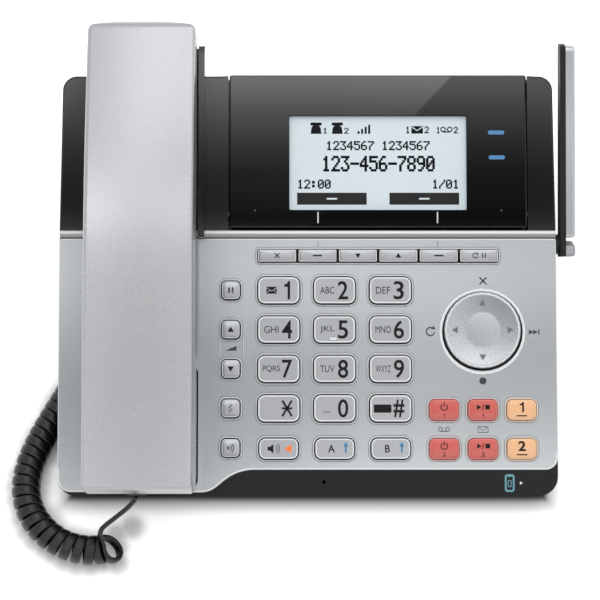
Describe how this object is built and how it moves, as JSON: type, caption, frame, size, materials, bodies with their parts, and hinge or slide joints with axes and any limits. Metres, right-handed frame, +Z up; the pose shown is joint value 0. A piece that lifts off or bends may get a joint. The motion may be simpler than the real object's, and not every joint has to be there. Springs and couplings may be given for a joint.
{
  "type": "answering machine",
  "caption": "Desk answering machine with a corded handset along its left side, a tilting display, a sloping keypad with a rocking disc, and a folding antenna at the right.",
  "frame": {"origin": "on the table, under the middle of the object's plan without its cord", "axes": "+X to the user's right, +Y from the user towards the back, +Z up from the table"},
  "size_m": [0.2381, 0.2087, 0.1026],
  "materials": {
    "case_black": "fine texture",
    "face_silver": "silver paint, satin",
    "handset_silver": "silver paint, satin",
    "trim_bright": "bright satin",
    "gloss_black": "polished",
    "lens_black": "polished, printed from behind",
    "lcd_pale": "pale backlit glass",
    "circuit_board": "solder mask",
    "mat_rubber": "smooth silicone",
    "foot_rubber": "matte",
    "speaker_black": "paper and steel",
    "screw_steel": "zinc plated",
    "jack_black": "moulded",
    "plug_clear": "smoked clear",
    "cord_black": "satin vinyl",
    "key_silver": "silver paint, satin",
    "key_red": "translucent red",
    "key_amber": "translucent orange"
  },
  "bodies": {
    "base": {"lower_case": "case_black", "upper_case": "case_black", "face_plate": "face_silver", "trim_strip": "trim_bright", "rear_bezel": "gloss_black", "main_board": "circuit_board", "keypad_mat": "mat_rubber", "loudspeaker": "speaker_black", "rubber_feet": "foot_rubber", "case_screws": "screw_steel", "modular_jacks": "jack_black", "base_cord_plug": "plug_clear", "cord_coil": "cord_black", "cord_tail": "cord_black"},
    "display": {"display_housing": "gloss_black", "display_lens": "lens_black", "lcd_module": "lcd_pale"},
    "antenna": {"antenna_inner_shell": "case_black", "antenna_outer_shell": "face_silver", "antenna_pivot": "face_silver"},
    "handset": {"handset_back_shell": "handset_silver", "handset_front_shell": "handset_silver", "handset_receiver": "speaker_black", "handset_microphone": "speaker_black", "handset_cord_plug": "plug_clear"},
    "hook_switch": {"hook_switch": "jack_black"},
    "nav_rocker": {"nav_rocker": "jack_black"},
    "nav_disc": {"nav_disc": "key_silver"},
    "key_1": {"key_1": "key_silver"},
    "key_2": {"key_2": "key_silver"},
    "key_3": {"key_3": "key_silver"},
    "key_4": {"key_4": "key_silver"},
    "key_5": {"key_5": "key_silver"},
    "key_6": {"key_6": "key_silver"},
    "key_7": {"key_7": "key_silver"},
    "key_8": {"key_8": "key_silver"},
    "key_9": {"key_9": "key_silver"},
    "key_star": {"key_star": "key_silver"},
    "key_0": {"key_0": "key_silver"},
    "key_hash": {"key_hash": "key_silver"},
    "key_speaker": {"key_speaker": "key_silver"},
    "key_mobile_a": {"key_mobile_a": "key_silver"},
    "key_mobile_b": {"key_mobile_b": "key_silver"},
    "key_hold": {"key_hold": "key_silver"},
    "key_volume_up": {"key_volume_up": "key_silver"},
    "key_volume_down": {"key_volume_down": "key_silver"},
    "key_flash": {"key_flash": "key_silver"},
    "key_talk": {"key_talk": "key_silver"},
    "key_cancel": {"key_cancel": "key_silver"},
    "key_soft_left": {"key_soft_left": "key_silver"},
    "key_caller_list": {"key_caller_list": "key_silver"},
    "key_directory": {"key_directory": "key_silver"},
    "key_soft_right": {"key_soft_right": "key_silver"},
    "key_redial": {"key_redial": "key_silver"},
    "key_answer_1": {"key_answer_1": "key_red"},
    "key_play_1": {"key_play_1": "key_red"},
    "key_line_1": {"key_line_1": "key_amber"},
    "key_answer_2": {"key_answer_2": "key_red"},
    "key_play_2": {"key_play_2": "key_red"},
    "key_line_2": {"key_line_2": "key_amber"}
  },
  "joints": [
    {"name": "display_tilt", "type": "hinge", "parent": "base", "child": "display", "pos_m": [0.0257, 0.02637, 0.05268], "axis": [1, 0, 0], "range_deg": [0, 40]},
    {"name": "antenna_fold", "type": "hinge", "parent": "base", "child": "antenna", "pos_m": [0.1032, 0.01641, 0.04437], "axis": [1, 0, 0], "range_deg": [0, 90]},
    {"name": "handset_lift", "type": "slide", "parent": "base", "child": "handset", "axis": [0, -0.342, 0.9397], "range_m": [0, 0.06]},
    {"name": "hook_travel", "type": "slide", "parent": "base", "child": "hook_switch", "axis": [0, -0.342, 0.9397], "range_m": [0, 0.003], "stiffness_N_per_m": 30, "springref_m": 0.003},
    {"name": "nav_rock_up_down", "type": "hinge", "parent": "base", "child": "nav_rocker", "pos_m": [0.069, -0.01987, 0.03585], "axis": [1, 0, 0], "range_deg": [-4, 4], "stiffness_Nm_per_rad": 0.3},
    {"name": "nav_rock_left_right", "type": "hinge", "parent": "nav_rocker", "child": "nav_disc", "pos_m": [0.069, -0.01987, 0.03585], "axis": [0, 0.9397, 0.342], "range_deg": [-4, 4], "stiffness_Nm_per_rad": 0.3},
    {"name": "key_1_press", "type": "slide", "parent": "base", "child": "key_1", "axis": [0, 0.342, -0.9397], "range_m": [0, 0.0012], "stiffness_N_per_m": 800},
    {"name": "key_2_press", "type": "slide", "parent": "base", "child": "key_2", "axis": [0, 0.342, -0.9397], "range_m": [0, 0.0012], "stiffness_N_per_m": 800},
    {"name": "key_3_press", "type": "slide", "parent": "base", "child": "key_3", "axis": [0, 0.342, -0.9397], "range_m": [0, 0.0012], "stiffness_N_per_m": 800},
    {"name": "key_4_press", "type": "slide", "parent": "base", "child": "key_4", "axis": [0, 0.342, -0.9397], "range_m": [0, 0.0012], "stiffness_N_per_m": 800},
    {"name": "key_5_press", "type": "slide", "parent": "base", "child": "key_5", "axis": [0, 0.342, -0.9397], "range_m": [0, 0.0012], "stiffness_N_per_m": 800},
    {"name": "key_6_press", "type": "slide", "parent": "base", "child": "key_6", "axis": [0, 0.342, -0.9397], "range_m": [0, 0.0012], "stiffness_N_per_m": 800},
    {"name": "key_7_press", "type": "slide", "parent": "base", "child": "key_7", "axis": [0, 0.342, -0.9397], "range_m": [0, 0.0012], "stiffness_N_per_m": 800},
    {"name": "key_8_press", "type": "slide", "parent": "base", "child": "key_8", "axis": [0, 0.342, -0.9397], "range_m": [0, 0.0012], "stiffness_N_per_m": 800},
    {"name": "key_9_press", "type": "slide", "parent": "base", "child": "key_9", "axis": [0, 0.342, -0.9397], "range_m": [0, 0.0012], "stiffness_N_per_m": 800},
    {"name": "key_star_press", "type": "slide", "parent": "base", "child": "key_star", "axis": [0, 0.342, -0.9397], "range_m": [0, 0.0012], "stiffness_N_per_m": 800},
    {"name": "key_0_press", "type": "slide", "parent": "base", "child": "key_0", "axis": [0, 0.342, -0.9397], "range_m": [0, 0.0012], "stiffness_N_per_m": 800},
    {"name": "key_hash_press", "type": "slide", "parent": "base", "child": "key_hash", "axis": [0, 0.342, -0.9397], "range_m": [0, 0.0012], "stiffness_N_per_m": 800},
    {"name": "key_speaker_press", "type": "slide", "parent": "base", "child": "key_speaker", "axis": [0, 0.342, -0.9397], "range_m": [0, 0.0012], "stiffness_N_per_m": 800},
    {"name": "key_mobile_a_press", "type": "slide", "parent": "base", "child": "key_mobile_a", "axis": [0, 0.342, -0.9397], "range_m": [0, 0.0012], "stiffness_N_per_m": 800},
    {"name": "key_mobile_b_press", "type": "slide", "parent": "base", "child": "key_mobile_b", "axis": [0, 0.342, -0.9397], "range_m": [0, 0.0012], "stiffness_N_per_m": 800},
    {"name": "key_hold_press", "type": "slide", "parent": "base", "child": "key_hold", "axis": [0, 0.342, -0.9397], "range_m": [0, 0.0012], "stiffness_N_per_m": 800},
    {"name": "key_volume_up_press", "type": "slide", "parent": "base", "child": "key_volume_up", "axis": [0, 0.342, -0.9397], "range_m": [0, 0.0012], "stiffness_N_per_m": 800},
    {"name": "key_volume_down_press", "type": "slide", "parent": "base", "child": "key_volume_down", "axis": [0, 0.342, -0.9397], "range_m": [0, 0.0012], "stiffness_N_per_m": 800},
    {"name": "key_flash_press", "type": "slide", "parent": "base", "child": "key_flash", "axis": [0, 0.342, -0.9397], "range_m": [0, 0.0012], "stiffness_N_per_m": 800},
    {"name": "key_talk_press", "type": "slide", "parent": "base", "child": "key_talk", "axis": [0, 0.342, -0.9397], "range_m": [0, 0.0012], "stiffness_N_per_m": 800},
    {"name": "key_cancel_press", "type": "slide", "parent": "base", "child": "key_cancel", "axis": [0, 0.342, -0.9397], "range_m": [0, 0.0012], "stiffness_N_per_m": 800},
    {"name": "key_soft_left_press", "type": "slide", "parent": "base", "child": "key_soft_left", "axis": [0, 0.342, -0.9397], "range_m": [0, 0.0012], "stiffness_N_per_m": 800},
    {"name": "key_caller_list_press", "type": "slide", "parent": "base", "child": "key_caller_list", "axis": [0, 0.342, -0.9397], "range_m": [0, 0.0012], "stiffness_N_per_m": 800},
    {"name": "key_directory_press", "type": "slide", "parent": "base", "child": "key_directory", "axis": [0, 0.342, -0.9397], "range_m": [0, 0.0012], "stiffness_N_per_m": 800},
    {"name": "key_soft_right_press", "type": "slide", "parent": "base", "child": "key_soft_right", "axis": [0, 0.342, -0.9397], "range_m": [0, 0.0012], "stiffness_N_per_m": 800},
    {"name": "key_redial_press", "type": "slide", "parent": "base", "child": "key_redial", "axis": [0, 0.342, -0.9397], "range_m": [0, 0.0012], "stiffness_N_per_m": 800},
    {"name": "key_answer_1_press", "type": "slide", "parent": "base", "child": "key_answer_1", "axis": [0, 0.342, -0.9397], "range_m": [0, 0.0012], "stiffness_N_per_m": 800},
    {"name": "key_play_1_press", "type": "slide", "parent": "base", "child": "key_play_1", "axis": [0, 0.342, -0.9397], "range_m": [0, 0.0012], "stiffness_N_per_m": 800},
    {"name": "key_line_1_press", "type": "slide", "parent": "base", "child": "key_line_1", "axis": [0, 0.342, -0.9397], "range_m": [0, 0.0012], "stiffness_N_per_m": 800},
    {"name": "key_answer_2_press", "type": "slide", "parent": "base", "child": "key_answer_2", "axis": [0, 0.342, -0.9397], "range_m": [0, 0.0012], "stiffness_N_per_m": 800},
    {"name": "key_play_2_press", "type": "slide", "parent": "base", "child": "key_play_2", "axis": [0, 0.342, -0.9397], "range_m": [0, 0.0012], "stiffness_N_per_m": 800},
    {"name": "key_line_2_press", "type": "slide", "parent": "base", "child": "key_line_2", "axis": [0, 0.342, -0.9397], "range_m": [0, 0.0012], "stiffness_N_per_m": 800}
  ],
  "couplings": [
    {"joint": "hook_travel", "follows": "handset_lift", "ratio": 0.05}
  ]
}
